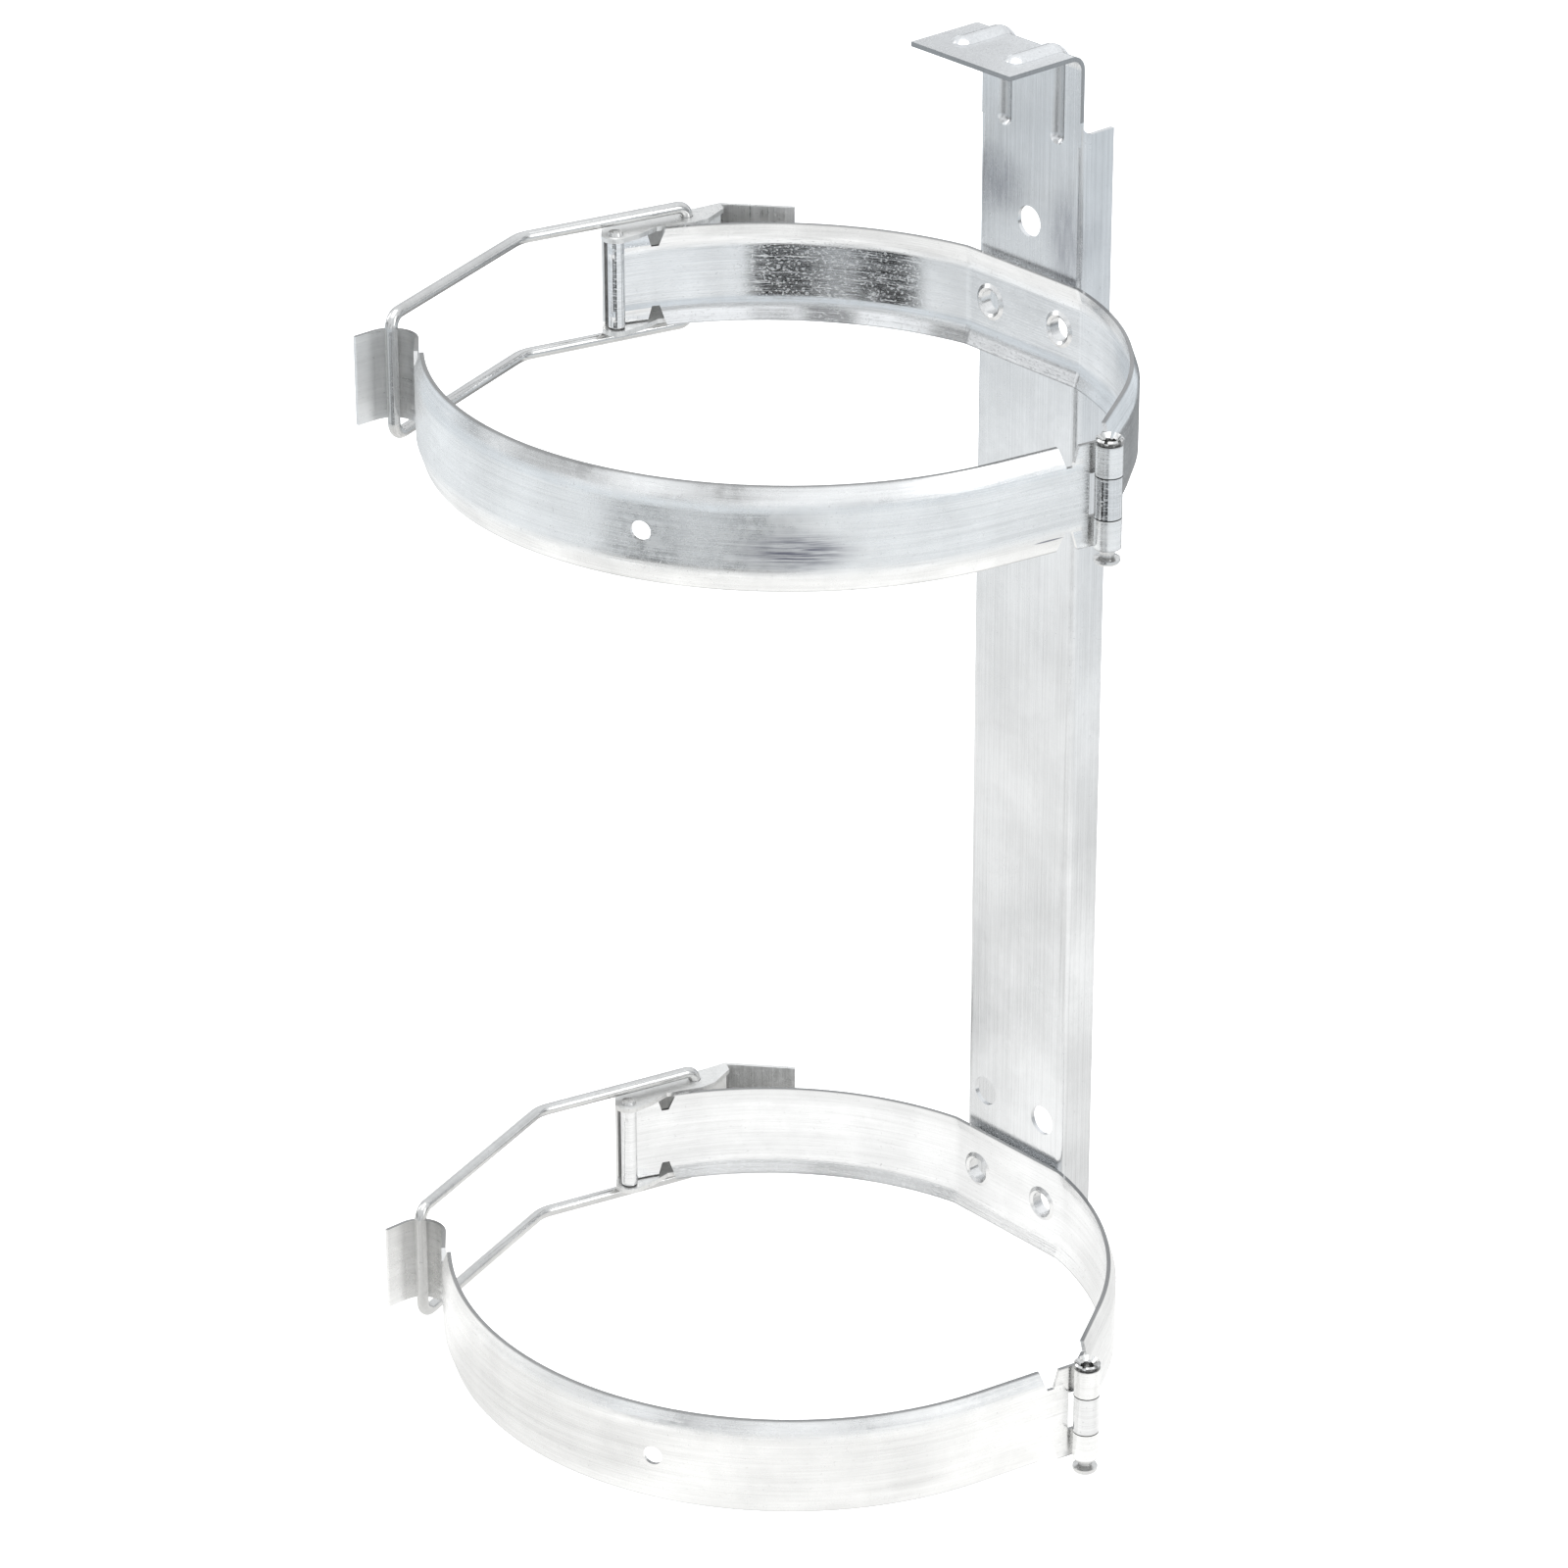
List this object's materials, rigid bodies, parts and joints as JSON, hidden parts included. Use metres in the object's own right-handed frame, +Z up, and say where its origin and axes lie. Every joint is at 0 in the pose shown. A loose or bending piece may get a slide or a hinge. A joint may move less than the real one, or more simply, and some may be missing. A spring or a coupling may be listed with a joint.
{
  "type": "extinguisher wall bracket",
  "caption": "Galvanised steel wall bracket: a folded channel with a top lip carries hinged strap rings, each closed by a pivoted lever and wire bail over a hook.",
  "frame": {"origin": "centre of the upper screw hole, in the channel's front face", "axes": "+X to the right seen from the front, +Y into the wall, +Z up along the channel"},
  "size_m": [0.1913, 0.1771, 0.3385],
  "materials": {
    "channel_steel": "zinc-coated sheet with fine rolling lines",
    "strap_steel": "bright zinc-coated strip with fine lengthwise rolling lines",
    "pin_steel": "zinc-plated rivet",
    "eyelet_steel": "bright plated eyelet",
    "lever_steel": "satin zinc-coated sheet",
    "wire_steel": "drawn wire, slightly warm grey"
  },
  "bodies": {
    "frame": {"back_channel": "channel_steel", "upper_fixed_strap": "strap_steel", "upper_hinge_pin": "pin_steel", "upper_left_eyelet": "eyelet_steel", "upper_right_eyelet": "eyelet_steel", "lower_fixed_strap": "strap_steel", "lower_hinge_pin": "pin_steel", "lower_left_eyelet": "eyelet_steel", "lower_right_eyelet": "eyelet_steel"},
    "upper_door": {"upper_door_strap": "strap_steel"},
    "upper_lever": {"upper_latch_lever": "lever_steel", "upper_lever_pin": "pin_steel"},
    "upper_bail_body": {"upper_bail": "wire_steel"},
    "lower_door": {"lower_door_strap": "strap_steel"},
    "lower_lever": {"lower_latch_lever": "lever_steel", "lower_lever_pin": "pin_steel"},
    "lower_bail_body": {"lower_bail": "wire_steel"}
  },
  "joints": [
    {"name": "upper_door_hinge", "type": "hinge", "parent": "frame", "child": "upper_door", "pos_m": [0.09384, -0.06401, -0.0245], "axis": [0, 0, 1], "range_deg": [0, 150]},
    {"name": "upper_lever_pivot", "type": "hinge", "parent": "frame", "child": "upper_lever", "pos_m": [-0.08401, -0.06207, -0.0245], "axis": [0, 0, 1], "range_deg": [0, 140]},
    {"name": "upper_bail_pivot", "type": "hinge", "parent": "upper_lever", "child": "upper_bail_body", "pos_m": [-0.08232, -0.04013, -0.0245], "axis": [0, 0, 1], "range_deg": [-120, 0]},
    {"name": "lower_door_hinge", "type": "hinge", "parent": "frame", "child": "lower_door", "pos_m": [0.09384, -0.06401, -0.2725], "axis": [0, 0, 1], "range_deg": [0, 150]},
    {"name": "lower_lever_pivot", "type": "hinge", "parent": "frame", "child": "lower_lever", "pos_m": [-0.08401, -0.06207, -0.2725], "axis": [0, 0, 1], "range_deg": [0, 140]},
    {"name": "lower_bail_pivot", "type": "hinge", "parent": "lower_lever", "child": "lower_bail_body", "pos_m": [-0.08232, -0.04013, -0.2725], "axis": [0, 0, 1], "range_deg": [-120, 0]}
  ],
  "couplings": [
    {"joint": "upper_bail_pivot", "follows": "upper_lever_pivot", "ratio": -0.79},
    {"joint": "lower_bail_pivot", "follows": "lower_lever_pivot", "ratio": -0.79}
  ]
}
